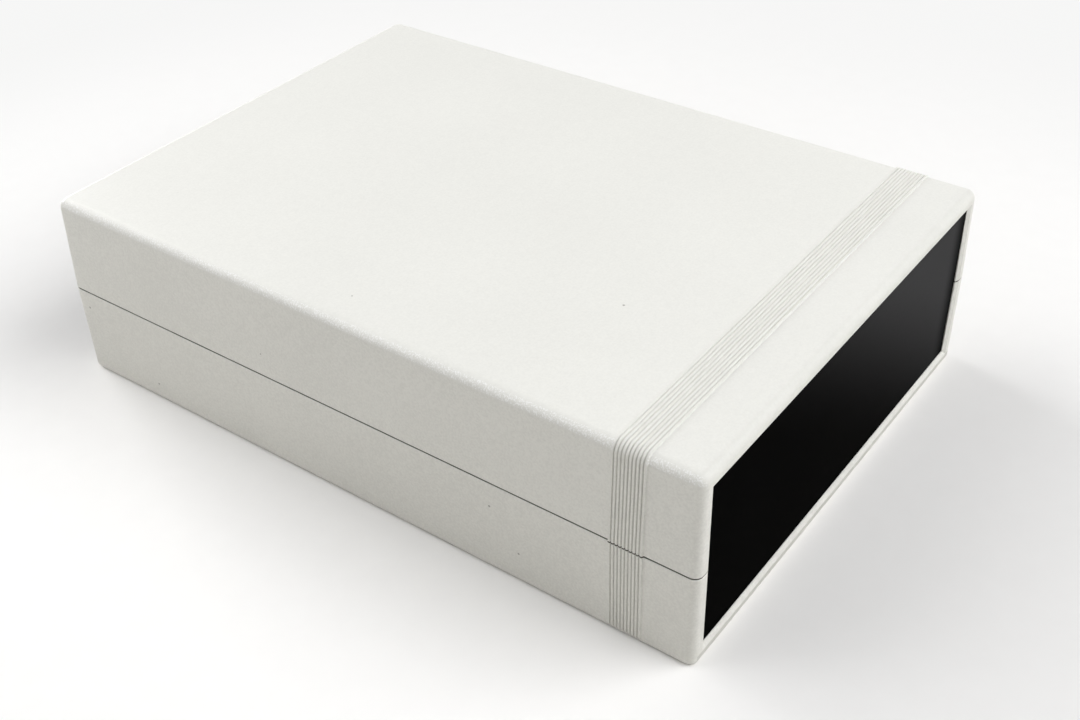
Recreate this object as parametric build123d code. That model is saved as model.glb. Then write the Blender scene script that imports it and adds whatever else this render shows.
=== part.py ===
"""Two-shell desktop instrument case, injection moulded, with a plate panel at each end.

Frame: +X to the right of someone facing the front panel, +Y to the back, +Z up.
Origin: centre of the footprint, on the surface that the case stands on. Millimetres.
"""

import os
from math import cos, radians, tan

from build123d import *

# ---------------------------------------------------------------- driving dimensions
# outside form, measured at the parting line
case_width = 156.0
case_length = 220.0
case_height = 60.0
parting_height = 30.0
parting_gap = 0.4
wall = 2.5

# how far each face leans in away from the parting line, in degrees
upper_side_draft = 2.0
upper_end_draft = 0.5
lower_side_draft = 0.4
lower_end_draft = 0.2

# outer and inner rounding
roof_edge_radius = 3.0
base_edge_radius = 1.6
end_edge_radius = 2.5
inner_edge_radius = 1.0
rim_break = 0.2

# lip around each end opening, with its picture-frame bevel
lip_side = 5.5
lip_top = 5.1
lip_base = 4.35
lip_thickness = 1.05
bevel_width = 1.4
bevel_depth = 0.7
jamb_draft = 0.8

# end panels and the groove that holds them
panel_thickness = 2.0
panel_overlap = 2.0
panel_corner_radius = 1.0
panel_edge_clearance = 0.3
panel_face_clearance = 0.1
groove_rib = 1.6

# reeded band near the front
reed_count = 10
reed_pitch = 1.0
reed_height = 0.4
reed_crest = 0.55
reed_valley = 0.03
reed_root = 0.4
band_setback = 15.5
reed_run_out = 0.5

# tongue on the lower shell, rebate in the upper one
tongue_thickness = 1.0
tongue_height = 1.6
tongue_clearance = 0.2

# screws and their posts
screw_inset_x = 9.0
screw_inset_y = 26.0
screw_core_radius = 1.42
screw_length = 20.0
screw_tip = 2.5
head_radius = 3.5
head_height = 2.4
recess_width = 1.0
recess_span = 3.6
recess_depth = 1.5
pilot_clearance = 0.08
pilot_spare_depth = 3.0
shank_clearance = 0.68
head_clearance = 0.4
seat_height = 22.0
post_skin = 1.5
upper_post_radius = 4.0
gusset_thickness = 1.5
gusset_reach = 8.0

# board posts on the floor
board_spacing_x = 100.0
board_spacing_y = 150.0
board_post_radius = 3.2
board_post_height = 6.0
board_pilot_radius = 1.25
board_pilot_depth = 6.5

# stiffening ribs inside the long walls
rib_count = 3
rib_spacing = 44.0
rib_thickness = 1.4
rib_depth = 1.6

# shallow seats on the underside for stick-on feet
foot_seat_radius = 6.5
foot_seat_depth = 0.6
foot_inset_x = 15.0
foot_inset_y = 11.0

# ---------------------------------------------------------------- values worked out from them
half_width = case_width / 2
half_length = case_length / 2
upper_rim = parting_height + parting_gap / 2
lower_rim = parting_height - parting_gap / 2
opening_half = half_width - lip_side
opening_top = case_height - lip_top
opening_base = lip_base
groove_width = panel_thickness + 2 * panel_face_clearance
frame_depth = lip_thickness + groove_width + groove_rib
panel_half = opening_half + panel_overlap
panel_top = opening_top + panel_overlap
panel_base = opening_base - panel_overlap
screw_x = half_width - screw_inset_x
screw_y = half_length - screw_inset_y
corners = [(i * screw_x, j * screw_y) for i in (-1, 1) for j in (-1, 1)]
board_corners = [(i * board_spacing_x / 2, j * board_spacing_y / 2) for i in (-1, 1) for j in (-1, 1)]
foot_x = half_width - foot_inset_x
foot_y = half_length - foot_inset_y
foot_corners = [(i * foot_x, j * foot_y) for i in (-1, 1) for j in (-1, 1)]
pilot_radius = screw_core_radius + pilot_clearance
shank_hole_radius = screw_core_radius + shank_clearance
counterbore_radius = head_radius + head_clearance
lower_post_radius = counterbore_radius + post_skin
roof_inside = case_height - wall
board_seat = wall + board_post_height
cut_margin = 5.0


def half_width_at(z, inset=0.0):
    """Half the outside width at height z, less an inset."""
    draft = upper_side_draft if z > parting_height else lower_side_draft
    return half_width - abs(z - parting_height) * tan(radians(draft)) - inset


def half_length_at(z, inset=0.0):
    """Half the outside length at height z, less an inset."""
    draft = upper_end_draft if z > parting_height else lower_end_draft
    return half_length - abs(z - parting_height) * tan(radians(draft)) - inset


def prism_along_y(points, y_low, y_high):
    """Solid of an XZ outline run along Y."""
    return Plane.XZ.offset(-y_high) * extrude(Polygon(*points, align=None), y_high - y_low)


def prism_along_x(points, x_low, x_high):
    """Solid of a YZ outline run along X."""
    return Plane.YZ.offset(x_low) * extrude(Polygon(*points, align=None), x_high - x_low)


def tapered_block(z_low, z_high, inset_x=0.0, inset_y=0.0):
    """Block between two heights that follows the outside faces at an inset."""
    x_low, x_high = half_width_at(z_low, inset_x), half_width_at(z_high, inset_x)
    y_low, y_high = half_length_at(z_low, inset_y), half_length_at(z_high, inset_y)
    across = [(-x_low, z_low), (x_low, z_low), (x_high, z_high), (-x_high, z_high)]
    along = [(-y_low, z_low), (y_low, z_low), (y_high, z_high), (-y_high, z_high)]
    return prism_along_y(across, -half_length, half_length) & prism_along_x(along, -half_width, half_width)


def box_between(low, high):
    """Box from its lowest corner to its highest corner."""
    size = [b - a for a, b in zip(low, high)]
    centre = [(a + b) / 2 for a, b in zip(low, high)]
    return Pos(*centre) * Box(*size)


def post(x, y, z_low, z_high, radius):
    """Round post, or the cutter of a round hole, between two heights."""
    return Pos(x, y, (z_low + z_high) / 2) * Cylinder(radius, z_high - z_low)


def break_rim(body, rim):
    """Small chamfer around the rim at the parting line, the lowest face or the highest."""
    return chamfer(body.faces().sort_by(Axis.Z)[rim].edges(), rim_break)


def rounded_cover():
    """Outside form of the cover: long edges rounded first, then the loops around both ends."""
    body = tapered_block(upper_rim, case_height)
    body = fillet(body.edges().filter_by(Axis.Y).group_by(Axis.Z)[-1], roof_edge_radius)
    end_loops = []
    for end in (0, -1):
        loop = body.faces().sort_by(Axis.Y)[end].edges().sort_by(Axis.Z)
        end_loops += loop[1:]
    body = fillet(end_loops, end_edge_radius)
    return break_rim(body, 0)


def rounded_base():
    """Outside form of the base: corner edges rounded first, then the edge around the floor."""
    body = tapered_block(0, lower_rim)
    body = fillet(body.edges().group_by(Axis.Z)[1], end_edge_radius)
    body = fillet(body.faces().sort_by(Axis.Z)[0].edges(), base_edge_radius)
    return break_rim(body, -1)


def reed_band(path):
    """Strip with all the reeds, swept along a path on the wall's outside face."""
    steepness = (reed_height - reed_valley) / (reed_pitch - reed_crest) * 2
    skirt = reed_pitch / 2 + (reed_valley + reed_root) / steepness
    rows = [-half_length + band_setback + k * reed_pitch for k in range(reed_count)]
    outline = [(rows[0] - skirt, -reed_root)]
    for y in rows:
        outline += [(y - reed_crest / 2, reed_height), (y + reed_crest / 2, reed_height)]
        outline.append((y + reed_pitch / 2, reed_valley))
    outline[-1] = (rows[-1] + skirt, -reed_root)
    section = Plane(origin=path @ 0, x_dir=(0, 1, 0), z_dir=path % 0)
    return sweep(section * Polygon(*outline, align=None), path=path)


def upper_reeds():
    """Reeds from rim to rim over the roof."""
    start = upper_rim - reed_height
    foot = half_width_at(upper_rim) + reed_height * tan(radians(upper_side_draft))
    head = half_width_at(case_height)
    corners_up = [(-foot, 0, start), (-head, 0, case_height), (head, 0, case_height), (foot, 0, start)]
    return reed_band(FilletPolyline(*corners_up, radius=roof_edge_radius))


def lower_reeds():
    """Reeds down the right side wall, turning under to run out in the base rounding."""
    start = lower_rim + reed_height
    rim = half_width_at(lower_rim) + reed_height * tan(radians(lower_side_draft))
    corner = half_width_at(0)
    turn = reed_height + reed_run_out
    corners_down = [(rim, 0, start), (corner, 0, turn), (corner - base_edge_radius, 0, turn)]
    return reed_band(FilletPolyline(*corners_down, radius=base_edge_radius))


def end_opening(z_low, z_high, y_low, y_high):
    """Prism of the end opening between two heights, wider towards the parting line."""
    lean = tan(radians(jamb_draft))
    low = opening_half - abs(z_low - parting_height) * lean
    high = opening_half - abs(z_high - parting_height) * lean
    return prism_along_y([(-low, z_low), (low, z_low), (high, z_high), (-high, z_high)], y_low, y_high)


def end_cuts(z_low, z_high, groove_low, groove_high):
    """Opening and panel groove at both ends, as one cutting shape for one shell."""
    cuts = []
    for side in (-1, 1):
        outer, inner = half_length + cut_margin, half_length - frame_depth - cut_margin
        y_low, y_high = sorted((side * outer, side * inner))
        cuts.append(end_opening(z_low, z_high, y_low, y_high))
        face, back = half_length - lip_thickness, half_length - lip_thickness - groove_width
        y_low, y_high = sorted((side * face, side * back))
        reach = panel_half + panel_edge_clearance
        cuts.append(box_between((-reach, y_low, groove_low), (reach, y_high, groove_high)))
    return cuts


def bevel_openings(shell, parting_edge):
    """Bevels the front edges of both end openings like a picture frame."""
    steepest = cos(radians(2 * upper_end_draft))
    for end in (0, -1):
        upright = shell.faces().filter_by(lambda face: abs(face.normal_at().Y) > steepest)
        face = upright.sort_by(Axis.Y)[end]
        parting_edges = face.edges().group_by(Axis.Z)[parting_edge]
        inner = [
            edge for edge in face.edges()
            if edge not in parting_edges
            and abs(edge.center().X) < opening_half + parting_gap
            and opening_base - parting_gap < edge.center().Z < opening_top + parting_gap
        ]
        shell = chamfer(inner, length=bevel_width, length2=bevel_depth, reference=face)
    return shell


def gussets(x, y, z_wall, z_tip):
    """Two tapered webs that tie a screw post to the floor or roof and to the side wall."""
    side = 1 if x > 0 else -1
    lean = -1 if y > 0 else 1
    wall_face = half_width_at(z_wall, wall / 2)
    half = gusset_thickness / 2
    tip_face = half_width_at(z_tip, wall / 2)
    across = [(x, z_wall), (side * wall_face, z_wall), (side * tip_face, z_tip), (x, z_tip)]
    along = [(y, z_wall), (y + lean * gusset_reach, z_wall), (y, z_tip)]
    return [prism_along_y(across, y - half, y + half), prism_along_x(along, x - half, x + half)]


def wall_ribs(z_low, z_high):
    """Stiffening ribs up the inside of both long walls."""
    ribs = []
    for side in (-1, 1):
        for k in range(rib_count):
            y = (k - (rib_count - 1) / 2) * rib_spacing
            inner = [(side * half_width_at(z, wall + rib_depth), z) for z in (z_low, z_high)]
            outer = [(side * half_width_at(z, wall / 2), z) for z in (z_high, z_low)]
            ribs.append(prism_along_y(inner + outer, y - rib_thickness / 2, y + rib_thickness / 2))
    return ribs


def make_upper_shell():
    """Cover: roof and walls, reeds, end lips and grooves, pilot posts, rebate for the tongue."""
    body = rounded_cover() + upper_reeds()
    below = parting_height - cut_margin
    body = body - box_between((-case_width, -case_length, below), (case_width, case_length, upper_rim))
    hollow = tapered_block(upper_rim - cut_margin, roof_inside, wall, frame_depth)
    hollow = fillet(hollow.edges().filter_by(Axis.Y).group_by(Axis.Z)[-1], inner_edge_radius)
    body = body - hollow
    groove_top = panel_top + panel_edge_clearance
    body = body - end_cuts(below, opening_top, below, groove_top)
    body = bevel_openings(body, 0)
    inside = []
    for x, y in corners:
        inside.append(post(x, y, parting_height, case_height - wall / 2, upper_post_radius))
        inside += gussets(x, y, case_height - wall / 2, parting_height + tongue_height + gusset_reach)
    inside += wall_ribs(parting_height + 2 * tongue_height, case_height - wall / 2)
    body = body + inside
    rebate_x = half_width - wall + tongue_thickness + tongue_clearance
    rebate_top = parting_height + tongue_height + tongue_clearance
    run = half_length - frame_depth
    for side in (-1, 1):
        x_low, x_high = sorted((side * (half_width - 2 * wall), side * rebate_x))
        body = body - box_between((x_low, -run, below), (x_high, run, rebate_top))
    pilot_end = seat_height + screw_length + pilot_spare_depth
    for x, y in corners:
        body = body - post(x, y, below, pilot_end, pilot_radius)
    return body


def make_lower_shell():
    """Base: floor and walls, reeds, end lips and grooves, screw posts, board posts, tongue."""
    reeds = lower_reeds()
    body = rounded_base() + [reeds, mirror(reeds, about=Plane.YZ)]
    above = parting_height + cut_margin
    body = body - box_between((-case_width, -case_length, lower_rim), (case_width, case_length, above))
    hollow = tapered_block(wall, lower_rim + cut_margin, wall, frame_depth)
    hollow = fillet(hollow.edges().filter_by(Axis.Y).group_by(Axis.Z)[0], inner_edge_radius)
    body = body - hollow
    groove_base = panel_base - panel_edge_clearance
    body = body - end_cuts(opening_base, above, groove_base, above)
    body = bevel_openings(body, -1)
    inside = []
    for x, y in corners:
        inside.append(post(x, y, wall / 2, parting_height, lower_post_radius))
        inside += gussets(x, y, wall / 2, parting_height - gusset_reach)
    inside += [post(x, y, wall / 2, board_seat, board_post_radius) for x, y in board_corners]
    inside += wall_ribs(wall / 2, lower_rim - tongue_height)
    run = half_length - frame_depth - tongue_clearance
    foot, tip = lower_rim - tongue_height, parting_height + tongue_height
    for side in (-1, 1):
        x_low, x_high = sorted((side * (half_width - wall), side * (half_width - wall + tongue_thickness)))
        inside.append(box_between((x_low, -run, foot), (x_high, run, tip)))
    body = body + inside
    pilot_floor = board_seat - board_pilot_depth
    holes = [post(x, y, -cut_margin, seat_height, counterbore_radius) for x, y in corners]
    holes += [post(x, y, -cut_margin, above, shank_hole_radius) for x, y in corners]
    holes += [post(x, y, pilot_floor, above, board_pilot_radius) for x, y in board_corners]
    holes += [post(x, y, -cut_margin, foot_seat_depth, foot_seat_radius) for x, y in foot_corners]
    return body - holes


def make_panel(side):
    """Plate that stands in the grooves at one end; side is -1 at the front and 1 at the back."""
    outline = RectangleRounded(2 * panel_half, panel_top - panel_base, panel_corner_radius)
    plate = Pos(0, 0, -panel_thickness / 2) * extrude(outline, panel_thickness)
    centre = half_length - lip_thickness - groove_width / 2
    return Pos(0, side * centre, (panel_top + panel_base) / 2) * Rot(90, 0, 0) * plate


def make_screw():
    """Cheese-head self-tapping screw, head down, its seat at height zero."""
    head = [(0, -head_height), (head_radius, -head_height), (head_radius, 0)]
    shank = [(screw_core_radius, 0), (screw_core_radius, screw_length - screw_tip), (0, screw_length)]
    half = Plane.XZ * Polygon(*head, *shank, align=None)
    screw = revolve(half, Axis.Z)
    blade = Pos(0, 0, -head_height + recess_depth / 2) * Box(recess_span, recess_width, recess_depth)
    return screw - blade - Rot(0, 0, 90) * blade


def make_case_screws():
    """The four screws, in their posts."""
    return Compound(children=[Pos(x, y, seat_height) * make_screw() for x, y in corners])


os.makedirs("parts", exist_ok=True)
pieces = {
    "upper_shell": make_upper_shell(),
    "lower_shell": make_lower_shell(),
    "front_panel": make_panel(-1),
    "rear_panel": make_panel(1),
    "case_screws": make_case_screws(),
}
for name, piece in pieces.items():
    export_step(piece, f"parts/{name}.step")
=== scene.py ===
# %% [markdown]
# # A moulded instrument case
# This lesson dresses a two-shell plastic instrument case: a cover and a base that meet at half height,
# a flat panel in a groove at each end, and four screws that pull the shells together from below.
# The solids come in as a fixed frame, in metres, and everything here is laid around them.

from math import atan, degrees, pi, radians

import bmesh
import bpy
from mathutils import Matrix, Vector


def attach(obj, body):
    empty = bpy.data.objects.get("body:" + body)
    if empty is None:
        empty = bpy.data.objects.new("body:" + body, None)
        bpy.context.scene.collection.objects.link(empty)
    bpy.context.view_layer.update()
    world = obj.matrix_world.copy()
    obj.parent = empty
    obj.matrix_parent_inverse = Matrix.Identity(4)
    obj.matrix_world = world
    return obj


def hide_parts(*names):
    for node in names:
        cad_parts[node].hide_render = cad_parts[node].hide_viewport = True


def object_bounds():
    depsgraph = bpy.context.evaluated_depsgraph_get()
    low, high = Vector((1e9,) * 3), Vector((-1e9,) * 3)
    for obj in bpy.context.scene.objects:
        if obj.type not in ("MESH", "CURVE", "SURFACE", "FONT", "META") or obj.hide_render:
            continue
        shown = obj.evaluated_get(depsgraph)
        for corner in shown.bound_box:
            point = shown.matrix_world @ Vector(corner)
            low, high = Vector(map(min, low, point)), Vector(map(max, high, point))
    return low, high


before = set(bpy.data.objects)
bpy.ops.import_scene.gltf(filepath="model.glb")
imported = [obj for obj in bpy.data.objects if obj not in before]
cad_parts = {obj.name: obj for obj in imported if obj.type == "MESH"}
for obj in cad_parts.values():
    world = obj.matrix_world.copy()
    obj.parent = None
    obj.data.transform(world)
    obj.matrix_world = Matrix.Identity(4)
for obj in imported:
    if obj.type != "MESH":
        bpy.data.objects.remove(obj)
case_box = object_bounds()
millimetre = 0.001
print("nodes:", ", ".join(sorted(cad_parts)))
print("case, mm:", [round((b - a) / millimetre, 2) for a, b in zip(*case_box)])

# %% [markdown]
# ## The camera
# A view of a box pins down its camera well, because its edges run to three vanishing points.
# The place, heading, dip and roll are measured once and kept as plain numbers, and the turn is built from
# three rotations: heading about the vertical, dip about the camera's own side, roll about its line of sight.

# %% Camera
camera_place = Vector((-0.28192, -0.21885, 0.26523))
camera_heading = radians(53.211)
camera_dip = radians(36.661)
camera_roll = radians(-1.561)
camera_lens = 46.99
film_width = 36.0
nearest_seen = 0.01
farthest_seen = 20.0


def camera_turn(heading, dip, roll):
    """Rotation of a camera that looks level along +Y before it is turned."""
    level = Matrix.Rotation(pi / 2 - dip, 4, "X")
    return Matrix.Rotation(-heading, 4, "Z") @ level @ Matrix.Rotation(roll, 4, "Z")


camera_data = bpy.data.cameras.new("studio_camera")
camera_data.sensor_fit = "HORIZONTAL"
camera_data.sensor_width = film_width
camera_data.lens = camera_lens
camera_data.clip_start = nearest_seen
camera_data.clip_end = farthest_seen
camera = bpy.data.objects.new("studio_camera", camera_data)
camera.matrix_world = Matrix.Translation(camera_place) @ camera_turn(camera_heading, camera_dip, camera_roll)
bpy.context.scene.collection.objects.link(camera)
bpy.context.scene.camera = camera
print("view width, degrees:", round(degrees(2 * atan(film_width / 2 / camera_lens)), 1))

# %% [markdown]
# ## A small language for finishes
# A finish is a graph of shader nodes. Wiring it node by node hides the sum that it stands for, so one small
# class wraps a socket and lets Python's own operators add the Math nodes. Every other kind of node comes
# from one method, which sets the node's choices first and then its inputs.

# %% Wires
class Wire:
    """One output socket in a material, which can stand in a sum."""

    def __init__(self, tree, socket=None):
        self.tree = tree
        self.socket = socket

    def node(self, kind, choices=None, inputs=None, output=0):
        """Adds a node of any kind and gives back one of its outputs."""
        made = self.tree.nodes.new("ShaderNode" + kind)
        for name, choice in (choices or {}).items():
            if name == "stops":
                self.set_stops(made.color_ramp, choice)
            else:
                setattr(made, name, choice)
        for name, value in (inputs or {}).items():
            if isinstance(value, Wire):
                self.tree.links.new(value.socket, made.inputs[name])
            else:
                made.inputs[name].default_value = value
        return Wire(self.tree, made.outputs[output] if len(made.outputs) else None)

    def set_stops(self, ramp, stops):
        """Gives a colour ramp its stops, as pairs of place and colour."""
        while len(ramp.elements) < len(stops):
            ramp.elements.new(1.0)
        for element, (place, colour) in zip(ramp.elements, stops):
            element.position = place
            element.color = colour

    def sum_of(self, operation, first, second):
        """Adds one Math node."""
        return self.node("Math", {"operation": operation}, {0: first, 1: second})

    def __add__(self, other):
        return self.sum_of("ADD", self, other)

    def __radd__(self, other):
        return self.sum_of("ADD", other, self)

    def __sub__(self, other):
        return self.sum_of("SUBTRACT", self, other)

    def __rsub__(self, other):
        return self.sum_of("SUBTRACT", other, self)

    def __mul__(self, other):
        return self.sum_of("MULTIPLY", self, other)

    def __rmul__(self, other):
        return self.sum_of("MULTIPLY", other, self)


def new_finish(name):
    """Empty material, and a wire to start its graph from."""
    material = bpy.data.materials.new(name)
    material.use_nodes = True
    material.node_tree.nodes.clear()
    return material, Wire(material.node_tree)


def grain(start, feature, detail=2.0, roughness=0.5):
    """Soft noise whose blobs are about one feature across, in metres, centred on a half."""
    place = start.node("TexCoord", output="Object")
    inputs = {"Vector": place, "Scale": 1 / feature, "Detail": detail, "Roughness": roughness}
    return start.node("TexNoise", inputs=inputs)


noise_low = 0.3
noise_high = 0.7


def shades(start, mask, dark, light):
    """Colour that runs from a dark shade to a light one over the range that a noise covers."""
    stops = [(noise_low, (*dark, 1.0)), (noise_high, (*light, 1.0))]
    return start.node("ValToRGB", {"stops": stops}, {"Fac": mask})


print("helpers ready: Wire, new_finish, grain, shades")

# %% [markdown]
# ## Tones by place
# Many tones on a moulded case belong to a place, such as a groove, an edge or a gap. They could be painted
# on a picture, but a mask worked out from the place itself stays sharp at any distance and needs no picture.
# A mask is one inside its limits and nought outside, so two masks are joined by multiplying them.

# %% Masks
def coordinate(start, axis):
    """Distance along one axis of the piece, in metres."""
    place = start.node("TexCoord", output="Object")
    return start.node("SeparateXYZ", inputs={"Vector": place}, output=axis)


def either_side(value):
    """The value without its sign, so that both sides or both ends are treated alike."""
    return value.node("Math", {"operation": "ABSOLUTE"}, {0: value})


def above(value, low):
    """Mask that is one where the value is over a number."""
    return value.sum_of("GREATER_THAN", value, low)


def below(value, high):
    """Mask that is one where the value is under a number."""
    return value.sum_of("LESS_THAN", value, high)


def between(value, low, high):
    """Mask that is one where the value lies between two numbers."""
    return above(value, low) * below(value, high)


def over(start, mask, under, shade):
    """Colour with a plain shade laid over it where the mask is one."""
    return start.node("MixRGB", inputs={"Fac": mask, "Color1": under, "Color2": (*shade, 1.0)})


print("helpers ready: coordinate, either_side, above, below, between, over")

# %% [markdown]
# ## The reeded band
# Ten fine raised reeds run over the roof and down both walls. The reeds themselves are real geometry, in the
# solids. The finish adds what they do to the skin: it is smoother on them, and the grooves between them get
# painted shade, darker because little light reaches in. Counting rows along Y puts each groove halfway
# between two crests.

# %% Band masks
first_crest = case_box[0].y + 15.5 * millimetre
reed_pitch = 1.0 * millimetre
reed_count = 10
groove_width = 0.36 * millimetre


def band_masks(start, along):
    """Masks of the reeded band and of the grooves in it."""
    row = (along - first_crest) * (1 / reed_pitch)
    in_band = between(row, 0.0, reed_count - 1.0)
    part_of_row = start.node("Math", {"operation": "FRACT"}, {0: row})
    half_groove = groove_width / reed_pitch / 2
    return in_band, in_band * between(part_of_row, 0.5 - half_groove, 0.5 + half_groove)


print("grooves:", reed_count - 1, "each, mm:", groove_width / millimetre)

# %% [markdown]
# ## Edges, sills and the parting line
# Light that grazes the two long roof edges makes the crests of the texture glint, so a strip there has
# painted glints: light grains in the colour, glossier as well. The low face under each sill lies in shade,
# and so does the gap at the parting line; both are painted darker.
# Each is a strip between two distances from the middle of the case or from the floor.

# %% Edge, sill and gap masks
glint_inside = 75.4 * millimetre
glint_outside = 77.8 * millimetre
glint_low = 57.8 * millimetre
sill_face = case_box[1].y - 0.15 * millimetre
sill_low = 1.0 * millimetre
sill_high = 2.9 * millimetre
parting_height = 30.0 * millimetre
parting_half = 0.22 * millimetre


def strip_masks(across, along, height):
    """Masks of the long roof edges, of the sills and of the gap at the parting line."""
    on_edge = between(either_side(across), glint_inside, glint_outside) * above(height, glint_low)
    on_sill = above(either_side(along), sill_face) * between(height, sill_low, sill_high)
    in_gap = between(height, parting_height - parting_half, parting_height + parting_half)
    return on_edge, on_sill, in_gap


print("gap, mm:", round(2 * parting_half / millimetre, 2))
print("sill strip, mm:", round((sill_high - sill_low) / millimetre, 2))

# %% [markdown]
# ## Specks
# Off-white plastic always shows a little dust. A few loose meshes could stand for it, but round specks in
# the colour cost nothing: each cell of a Voronoi pattern has its own random number, and only the few cells
# with a low one show the disc around their point.

# %% Specks
speck_spacing = 6.0 * millimetre
speck_radius = 0.35 * millimetre
speck_share = 0.02


def specks(start):
    """Mask of a few round specks: the cells whose own random number is small enough."""
    place = start.node("TexCoord", output="Object")
    cells = {"Vector": place, "Scale": 1 / speck_spacing}
    reach = start.node("TexVoronoi", inputs=cells, output="Distance")
    lot = start.node("SeparateXYZ", inputs={"Vector": start.node("TexVoronoi", inputs=cells, output="Color")})
    return below(reach, speck_radius / speck_spacing) * below(lot, speck_share)


print("specks: one cell in", round(1 / speck_share))

# %% [markdown]
# ## Grains of the shell
# The shells are moulded in a cavity that was spark-eroded to a fine matt texture, a crowd of shallow pits
# under a millimetre across. It is too fine for geometry, so it is a bump from two noises, one for the pits
# and one for the slight waviness that moulding leaves. The reeded band has a smoother skin.
# The tone follows the same pits, with broad patches under them. Light rakes over the walls, so their grains
# are painted with stronger light and dark than those on the roof, as painted raking light.

# %% Shell grains
fine_detail = 3.0
pit_size = 0.7 * millimetre
pit_harshness = 0.6
wave_size = 3.0 * millimetre
patch_size = 45 * millimetre
relief_of_pits = 0.8
relief_of_waves = 0.2
band_smoothing = 0.85
tone_of_patches = 0.25
tone_of_pits = 0.6
tone_of_waves = 0.15
middle_tone = 0.5
wall_top = 57.5 * millimetre
wall_raking_contrast = 2.2


def bumps(start, strength, depth, relief):
    """Normals tilted as by a relief of a given depth, in metres."""
    return start.node("Bump", inputs={"Strength": strength, "Distance": depth, "Height": relief})


def shell_relief(pits, waves, in_band):
    """Height of the skin, as a share of its depth."""
    return (relief_of_pits * pits + relief_of_waves * waves) * (1.0 - band_smoothing * in_band)


def shell_tone(start, pits, waves, height):
    """Mask of the light and dark grains, with painted raking light making them stronger on the walls."""
    on_wall = between(height, 0.0, wall_top)
    mixed = tone_of_patches * grain(start, patch_size) + tone_of_pits * pits + tone_of_waves * waves
    return middle_tone + (mixed - middle_tone) * (1.0 + (wall_raking_contrast - 1.0) * on_wall)


print("pits, mm:", round(pit_size / millimetre, 2), "waves, mm:", round(wave_size / millimetre, 2))

# %% [markdown]
# ## Off-white moulded shell
# The shells are warm off-white ABS. One material serves both, so that they match across the parting line.
# The colours by place are laid one over another: painted shade in the grooves and under the sills, real dust
# specks, painted glints on the long roof edges, and last the gap's painted shade, because nothing lights it.
# The gloss follows the pits, because the crests polish first, and the glints are glossier still.

# %% Shell finish
shell_dark = (0.765, 0.762, 0.725)
shell_light = (0.840, 0.837, 0.796)
# One darker tone serves as painted shade in the grooves and under the sills, and as the colour of dust
# specks.
dust_and_painted_shade = (0.42, 0.41, 0.38)
gap_shade = (0.16, 0.15, 0.13)
glint_shade = (0.97, 0.97, 0.95)
groove_painted_shade = 0.24
sill_painted_shade = 0.45
glint_size = 0.6 * pit_size
glint_detail = 1.0
glint_level = 0.56
glint_gloss = 0.6
pit_depth = 0.05 * millimetre
pit_strength = 0.5
pit_roughness = 0.34
crest_roughness = 0.2
shell_specular = 0.5


def shell_finish():
    """Fine spark-eroded ABS."""
    material, start = new_finish("off_white_abs")
    across, along, height = (coordinate(start, axis) for axis in "XYZ")
    pits = grain(start, pit_size, fine_detail, pit_harshness)
    waves = grain(start, wave_size)
    in_band, in_groove = band_masks(start, along)
    on_edge, on_sill, in_gap = strip_masks(across, along, height)
    # Painted glints: light grains in the colour along the long roof edges, outside the reeded band.
    glints = on_edge * (1.0 - in_band) * above(grain(start, glint_size, glint_detail), glint_level)
    # Painted shade in the grooves and under the sills, plus real dust specks, all in the one darker tone.
    shade_and_dust_mask = groove_painted_shade * in_groove + sill_painted_shade * on_sill + specks(start)
    bare_tone = shades(start, shell_tone(start, pits, waves, height), shell_dark, shell_light)
    shaded_and_dusty = over(start, shade_and_dust_mask, bare_tone, dust_and_painted_shade)
    plastic = start.node("BsdfPrincipled", inputs={
        "Base Color": over(start, in_gap, over(start, glints, shaded_and_dusty, glint_shade), gap_shade),
        "Roughness": (pit_roughness + crest_roughness * pits) * (1.0 - glint_gloss * glints),
        "Specular IOR Level": shell_specular,
        "Normal": bumps(start, pit_strength, pit_depth, shell_relief(pits, waves, in_band)),
    })
    start.node("OutputMaterial", inputs={"Surface": plastic})
    return material


shell_plastic = shell_finish()
print("shell finish:", len(shell_plastic.node_tree.nodes), "nodes")

# %% [markdown]
# ## Black panel
# The end panels are black ABS sheet with a fine leathery grain, in the bump and the roughness.
# Real black sheet looks greyer where it mirrors something pale. Here a painted reflection, a grey in the
# colour, stands for that, and thickens towards one upper corner: its mask rises along X and faster along Z,
# and squaring it keeps the other half of the panel deep black. Next to the upright edge the painted
# reflection fades out, as painted shade of the lip.

# %% Panel finish
panel_dark = (0.0012, 0.0012, 0.0012)
panel_light = (0.0024, 0.0024, 0.0024)
painted_reflection_shade = (0.052, 0.052, 0.054)
reflection_start = 10 * millimetre
reflection_full = 115 * millimetre
reflection_rise = 1.4
edge_reflecting = 64 * millimetre
edge_in_shade = 74 * millimetre
leather_size = 0.6 * millimetre
leather_depth = 0.04 * millimetre
leather_strength = 0.4
leather_roughness = 0.4
leather_dulling = 0.15
haze_share = 0.5
reflection_least = 0.9
reflection_spread = 0.2
panel_specular = 0.001


def smooth_rise(start, value, low, high):
    """Mask that rises smoothly from nought at one number to one at another."""
    span = {"Value": value, "From Min": low, "From Max": high}
    return start.node("MapRange", {"interpolation_type": "SMOOTHSTEP"}, span)


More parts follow.
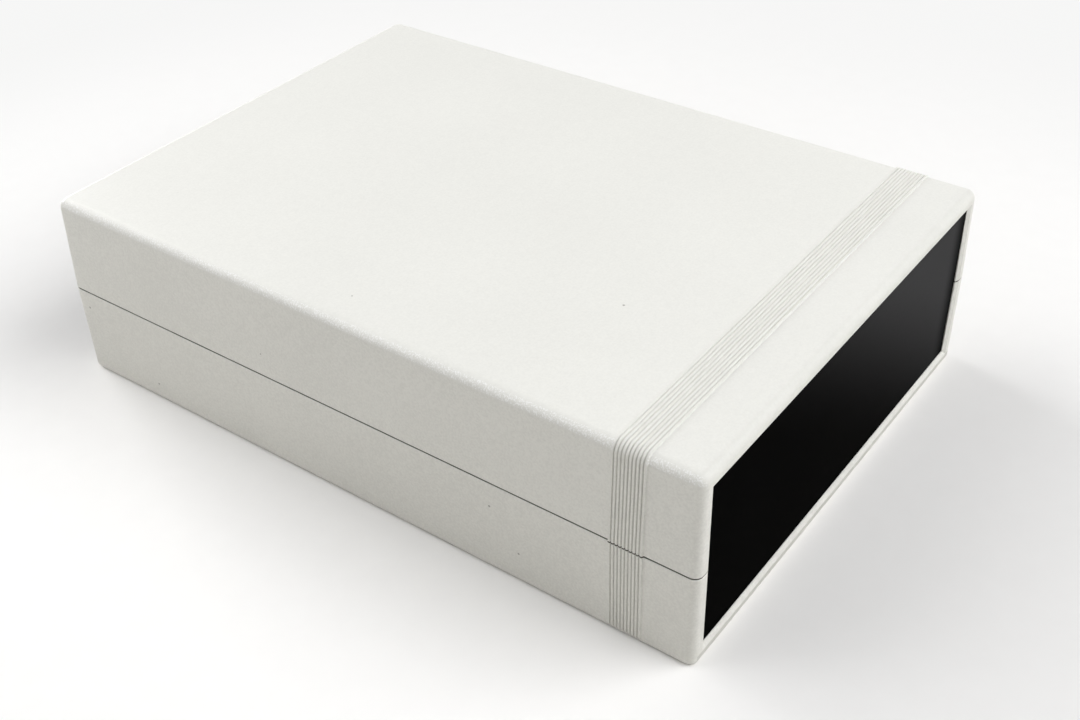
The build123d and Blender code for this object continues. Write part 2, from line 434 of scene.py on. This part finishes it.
def panel_finish():
    """Black sheet with a fine grain."""
    material, start = new_finish("black_abs_sheet")
    pebbles = grain(start, leather_size)
    haze = grain(start, patch_size, fine_detail)
    black = shades(start, (1 - haze_share) * pebbles + haze_share * haze, panel_dark, panel_light)
    along = coordinate(start, "X")
    reach = smooth_rise(start, along + reflection_rise * coordinate(start, "Z"), reflection_start, reflection_full)
    near_edge = smooth_rise(start, along, edge_reflecting, edge_in_shade)
    # Painted reflection: a grey in the colour, fading out next to the upright edge as painted shade.
    painted_reflection = reach * reach * (1.0 - near_edge) * (reflection_least + reflection_spread * pebbles)
    bump = bumps(start, leather_strength, leather_depth, pebbles)
    plastic = start.node("BsdfPrincipled", inputs={
        "Base Color": over(start, painted_reflection, black, painted_reflection_shade),
        "Roughness": leather_roughness + leather_dulling * pebbles,
        "Specular IOR Level": panel_specular,
        "Normal": bump,
    })
    start.node("OutputMaterial", inputs={"Surface": plastic})
    return material


panel_plastic = panel_finish()
print("panel finish:", len(panel_plastic.node_tree.nodes), "nodes")

# %% [markdown]
# ## Zinc-plated screws
# The screws are bright zinc-plated steel. Plating follows the wire's drawing marks and dulls in patches,
# so a metallic base takes a bump from a fine noise, and its colour and roughness vary with a coarser one.

# %% Screw finish
zinc_dark = (0.52, 0.53, 0.54)
zinc_light = (0.70, 0.71, 0.71)
scratch_size = 0.25 * millimetre
dull_size = 1.5 * millimetre
scratch_depth = 0.01 * millimetre
scratch_strength = 0.3
plating_roughness = 0.22
plating_dulling = 0.2


def screw_finish():
    """Bright zinc plating on steel."""
    material, start = new_finish("zinc_plated_steel")
    scratches = grain(start, scratch_size, fine_detail)
    dulling = grain(start, dull_size)
    bump = bumps(start, scratch_strength, scratch_depth, scratches)
    metal = start.node("BsdfPrincipled", inputs={
        "Base Color": shades(start, dulling, zinc_dark, zinc_light),
        "Metallic": 1.0,
        "Roughness": plating_roughness + plating_dulling * dulling,
        "Normal": bump,
    })
    start.node("OutputMaterial", inputs={"Surface": metal})
    return material


screw_steel = screw_finish()
print("screw finish:", len(screw_steel.node_tree.nodes), "nodes")

# %% [markdown]
# ## Shells with smooth roundings
# A solid's mesh is loose triangles, flat shaded, so its roundings show as facets. The solid itself stays
# as it is, and a copy stands for it: equal points are welded, coplanar triangles are dissolved back into
# whole faces, and edges that turn by little are shaded smooth. Weighted normals then let the big flat
# faces keep their own direction right up to the roundings.

# %% Smooth copies
weld_distance = 0.002 * millimetre
flat_angle = radians(0.2)
sharp_angle = radians(21)


def mark_sharp(bm):
    """Shades every face smooth and marks the edges that stay crisp."""
    for face in bm.faces:
        face.smooth = True
    for edge in bm.edges:
        edge.smooth = edge.is_manifold and edge.calc_face_angle() < sharp_angle


def smooth_copy(node, material):
    """Welded, smoothly shaded copy that stands for a node."""
    bm = bmesh.new()
    bm.from_mesh(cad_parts[node].data)
    bmesh.ops.remove_doubles(bm, verts=bm.verts, dist=weld_distance)
    bmesh.ops.dissolve_limit(bm, angle_limit=flat_angle, verts=bm.verts, edges=bm.edges)
    mark_sharp(bm)
    mesh = bpy.data.meshes.new(node + "_skin")
    bm.to_mesh(mesh)
    open_edges = sum(not edge.is_manifold for edge in bm.edges)
    bm.free()
    mesh.materials.append(material)
    skin = bpy.data.objects.new(node + "_skin", mesh)
    bpy.context.scene.collection.objects.link(skin)
    normals = skin.modifiers.new("weighted_normals", "WEIGHTED_NORMAL")
    normals.keep_sharp = True
    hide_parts(node)
    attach(skin, "root")
    print(skin.name, "faces:", len(mesh.polygons), "open edges:", open_edges)


for shell in ("upper_shell", "lower_shell"):
    smooth_copy(shell, shell_plastic)

# %% [markdown]
# ## Panels and screws
# The panels are flat plates with small corner radii, so their solids are right as they are and only take
# the finish. The screws get the same smooth copy as the shells.

# %% Panels and screws
for node in ("front_panel", "rear_panel"):
    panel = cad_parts[node]
    panel.data.materials.clear()
    panel.data.materials.append(panel_plastic)
    print(node, "faces:", len(panel.data.polygons))
smooth_copy("case_screws", screw_steel)

# %% [markdown]
# ## Floor
# The case stands on a sheet of white card that fills the view. A plain plane with a faint warm tone is
# enough, since all that it shows is the case's soft shadow. Away from the case, where the lamps would fade,
# the card runs over into an even white that only the camera and reflections see, so that it adds no
# diffuse light.

# %% Floor
floor_half = 3.0
fibre_size = 8 * millimetre
floor_seen = (0.950, 0.944, 0.936)
floor_bounce = (0.82, 0.80, 0.76)
fibre_shade = 0.99
far_white = (0.925, 0.925, 0.920)
far_start = 190 * millimetre
far_full = 340 * millimetre
card_roughness = 0.9
card_specular = 0.1


def looked_at(start):
    """One for what is seen straight or in a reflection, and nought for diffuse light."""
    straight = start.node("LightPath", output="Is Camera Ray")
    mirrored = start.node("LightPath", output="Is Glossy Ray")
    return straight + mirrored - straight * mirrored


def card_finish():
    """White card, nearly matt, that looks whiter than it lights the case."""
    material, start = new_finish("white_card")
    fibres = grain(start, fibre_size, fine_detail)
    seen = shades(start, fibres, tuple(fibre_shade * c for c in floor_seen), floor_seen)
    to_camera = start.node("LightPath", output="Is Camera Ray")
    shade = start.node("MixRGB", inputs={"Fac": to_camera, "Color1": (*floor_bounce, 1.0), "Color2": seen})
    card = start.node("BsdfPrincipled", inputs={
        "Base Color": shade,
        "Roughness": card_roughness,
        "Specular IOR Level": card_specular,
    })
    place = start.node("TexCoord", output="Object")
    away = start.node("VectorMath", {"operation": "LENGTH"}, {0: place}, output="Value")
    far = smooth_rise(start, away, far_start, far_full)
    white = start.node("Emission", inputs={"Color": (*far_white, 1.0), "Strength": 1.0})
    backdrop = start.node("MixShader", inputs={"Fac": far * looked_at(start), 1: card, 2: white})
    start.node("OutputMaterial", inputs={"Surface": backdrop})
    return material


bm = bmesh.new()
bmesh.ops.create_grid(bm, x_segments=1, y_segments=1, size=floor_half)
floor_mesh = bpy.data.meshes.new("card_floor")
bm.to_mesh(floor_mesh)
bm.free()
floor_mesh.materials.append(card_finish())
floor = bpy.data.objects.new("card_floor", floor_mesh)
bpy.context.scene.collection.objects.link(floor)
print("floor, m:", 2 * floor_half)

# %% [markdown]
# ## Light
# The roof is nearly white and the long side is a good deal darker, so most of the light comes from above.
# Two panels stand high at the front end and two at the back, with a weak one overhead, so that the roof is
# evenly lit and the shadows are soft. A small panel close to the far left brightens the long side at its far
# end and lets it fade towards the near one. The world is white to the camera and in reflections, and adds
# no diffuse light.

# %% Lights
case_middle = Vector((0.0, 0.0, 0.03))


def soft_panel(name, place, size, power):
    """Square white area light that faces the case, with its place and size in metres and power in watts."""
    data = bpy.data.lights.new(name, "AREA")
    data.size = size
    data.energy = power
    lamp = bpy.data.objects.new(name, data)
    aim = case_middle - Vector(place)
    lamp.matrix_world = Matrix.Translation(place) @ aim.to_track_quat("-Z", "Y").to_matrix().to_4x4()
    bpy.context.scene.collection.objects.link(lamp)


soft_panel("overhead", (0.0, 0.0, 1.3), size=1.4, power=1.7)
soft_panel("back_left", (-0.4, 0.9, 1.0), size=1.0, power=5.1)
soft_panel("front_right", (0.4, -0.9, 1.0), size=1.0, power=14.0)
soft_panel("front_left", (-0.35, -0.9, 1.0), size=1.0, power=3.5)
soft_panel("back_low", (0.2, 1.5, 0.5), size=0.8, power=16.0)
soft_panel("left_near", (-0.55, 0.40, 0.40), size=0.4, power=0.9)

world = bpy.data.worlds.new("studio")
bpy.context.scene.world = world
world.use_nodes = True
world.node_tree.nodes.clear()
room = Wire(world.node_tree)
sky = room.node("Background", inputs={"Color": (1.0, 1.0, 1.0, 1.0), "Strength": looked_at(room)})
room.node("OutputWorld", inputs={"Surface": sky})
bpy.context.scene.view_settings.view_transform = "Standard"
